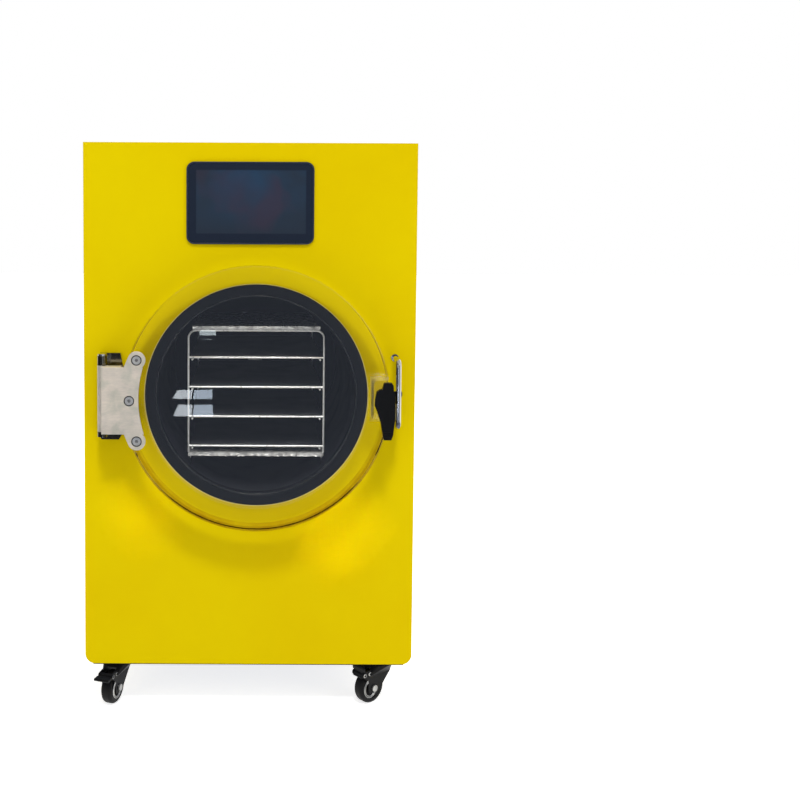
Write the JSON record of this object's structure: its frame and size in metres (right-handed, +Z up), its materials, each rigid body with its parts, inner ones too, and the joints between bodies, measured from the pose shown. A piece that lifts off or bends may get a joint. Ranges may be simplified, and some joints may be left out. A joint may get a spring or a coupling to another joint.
{
  "type": "freeze dryer",
  "caption": "Free-standing front-loading freeze dryer with a clear round hinged door, a wire shelf rack in a vacuum chamber, a dark screen and swivel casters.",
  "frame": {"origin": "centre of the bounding box's bottom face, on the floor under the casters", "axes": "+X to the right seen from the front, +Y from the door towards the rear, +Z up"},
  "size_m": [0.5, 0.7488, 0.865],
  "materials": {
    "yellow_paint": "gloss yellow powder coat on sheet steel",
    "galvanised_steel": "plain zinc-plated sheet",
    "frame_paint": "dark grey paint on square tube",
    "stainless_steel": "satin stainless steel",
    "polished_steel": "mirror-polished stainless steel",
    "foam": "closed-cell foam",
    "copper": "plain copper tube",
    "black_rubber": "black silicone rubber",
    "dark_heater": "black-coated aluminium",
    "black_plastic": "black moulded plastic",
    "grey_plastic": "dark grey moulded plastic",
    "screen_glass": "dark gloss cover glass",
    "clear_acrylic": "polished clear acrylic",
    "black_enamel": "black enamel",
    "aluminium_fins": "bare aluminium",
    "red_grip": "red vinyl grip",
    "caster_rubber": "black tread"
  },
  "bodies": {
    "cabinet": {"front_panel": "yellow_paint", "left_side_panel": "yellow_paint", "right_side_panel": "yellow_paint", "top_panel": "yellow_paint", "rear_panel": "yellow_paint", "base_pan": "galvanised_steel", "inner_frame": "frame_paint", "tank_saddles": "frame_paint", "chamber_tank": "stainless_steel", "chamber_insulation": "foam", "evaporator_coil": "copper", "door_gasket": "black_rubber", "rack_front_frame": "polished_steel", "rack_rear_frame": "polished_steel", "rack_rails": "polished_steel", "top_reflector": "polished_steel", "bottom_reflector": "polished_steel", "heated_shelf_1": "dark_heater", "heated_shelf_2": "dark_heater", "heated_shelf_3": "dark_heater", "heated_shelf_4": "dark_heater", "screen_bezel": "black_plastic", "screen_glass": "screen_glass", "screen_housing": "grey_plastic", "hinge_bracket": "polished_steel", "hinge_pin": "polished_steel", "bracket_screws": "stainless_steel", "keeper_bar": "polished_steel", "keeper_nuts": "galvanised_steel", "compressor": "black_enamel", "condenser": "aluminium_fins", "fan_frame": "black_plastic", "control_box": "galvanised_steel", "vacuum_port": "stainless_steel", "drain_valve": "stainless_steel", "power_inlet": "black_plastic", "switch_frame": "black_plastic", "caster_plates": "galvanised_steel"},
    "door": {"door_disc": "clear_acrylic", "hinge_leaf": "stainless_steel", "hinge_screws": "stainless_steel", "latch_post": "stainless_steel"},
    "latch_lever": {"latch_lever": "black_plastic"},
    "fan_rotor": {"fan_rotor": "black_plastic"},
    "power_switch": {"power_switch": "grey_plastic"},
    "drain_handle": {"drain_handle": "red_grip"},
    "front_left_fork": {"front_left_fork": "black_enamel", "front_left_axle": "galvanised_steel"},
    "front_left_wheel": {"front_left_wheel": "caster_rubber"},
    "front_left_brake": {"front_left_brake": "black_enamel"},
    "front_right_fork": {"front_right_fork": "black_enamel", "front_right_axle": "galvanised_steel"},
    "front_right_wheel": {"front_right_wheel": "caster_rubber"},
    "front_right_brake": {"front_right_brake": "black_enamel"},
    "rear_left_fork": {"rear_left_fork": "black_enamel", "rear_left_axle": "galvanised_steel"},
    "rear_left_wheel": {"rear_left_wheel": "caster_rubber"},
    "rear_right_fork": {"rear_right_fork": "black_enamel", "rear_right_axle": "galvanised_steel"},
    "rear_right_wheel": {"rear_right_wheel": "caster_rubber"}
  },
  "joints": [
    {"name": "door_hinge", "type": "hinge", "parent": "cabinet", "child": "door", "pos_m": [-0.219, -0.3416, 0.484], "axis": [0, 0, -1], "range_deg": [0, 110]},
    {"name": "latch_turn", "type": "hinge", "parent": "door", "child": "latch_lever", "pos_m": [0.203, -0.3576, 0.488], "axis": [0, 1, 0], "range_deg": [0, 90]},
    {"name": "fan_spin", "type": "hinge", "parent": "cabinet", "child": "fan_rotor", "pos_m": [-0.116, 0.3044, 0.1825], "axis": [0, 1, 0], "continuous": true},
    {"name": "switch_rock", "type": "hinge", "parent": "cabinet", "child": "power_switch", "pos_m": [0.13, 0.3194, 0.21], "axis": [1, 0, 0], "range_deg": [0, 18]},
    {"name": "drain_turn", "type": "hinge", "parent": "cabinet", "child": "drain_handle", "pos_m": [0.01, 0.3364, 0.292], "axis": [0, 0, -1], "range_deg": [0, 90]},
    {"name": "front_left_swivel", "type": "hinge", "parent": "cabinet", "child": "front_left_fork", "pos_m": [-0.204, -0.2776, 0.06], "axis": [0, 0, 1], "continuous": true},
    {"name": "front_left_roll", "type": "hinge", "parent": "front_left_fork", "child": "front_left_wheel", "pos_m": [-0.21117, -0.29627, 0.025], "axis": [0.9336, -0.3584, 0], "continuous": true},
    {"name": "front_left_pedal", "type": "hinge", "parent": "front_left_fork", "child": "front_left_brake", "pos_m": [-0.21834, -0.31494, 0.049], "axis": [-0.9336, 0.3584, 0], "range_deg": [0, 85]},
    {"name": "front_right_swivel", "type": "hinge", "parent": "cabinet", "child": "front_right_fork", "pos_m": [0.204, -0.2776, 0.06], "axis": [0, 0, 1], "continuous": true},
    {"name": "front_right_roll", "type": "hinge", "parent": "front_right_fork", "child": "front_right_wheel", "pos_m": [0.18824, -0.28991, 0.025], "axis": [0.6157, -0.788, 0], "continuous": true},
    {"name": "front_right_pedal", "type": "hinge", "parent": "front_right_fork", "child": "front_right_brake", "pos_m": [0.17248, -0.30223, 0.049], "axis": [0.6157, -0.788, 0], "range_deg": [0, 85]},
    {"name": "rear_left_swivel", "type": "hinge", "parent": "cabinet", "child": "rear_left_fork", "pos_m": [-0.204, 0.2824, 0.06], "axis": [0, 0, 1], "continuous": true},
    {"name": "rear_left_roll", "type": "hinge", "parent": "rear_left_fork", "child": "rear_left_wheel", "pos_m": [-0.21686, 0.26708, 0.025], "axis": [0.766, -0.6428, 0], "continuous": true},
    {"name": "rear_right_swivel", "type": "hinge", "parent": "cabinet", "child": "rear_right_fork", "pos_m": [0.204, 0.2824, 0.06], "axis": [0, 0, 1], "continuous": true},
    {"name": "rear_right_roll", "type": "hinge", "parent": "rear_right_fork", "child": "rear_right_wheel", "pos_m": [0.21547, 0.26602, 0.025], "axis": [0.8192, 0.5736, 0], "continuous": true}
  ]
}
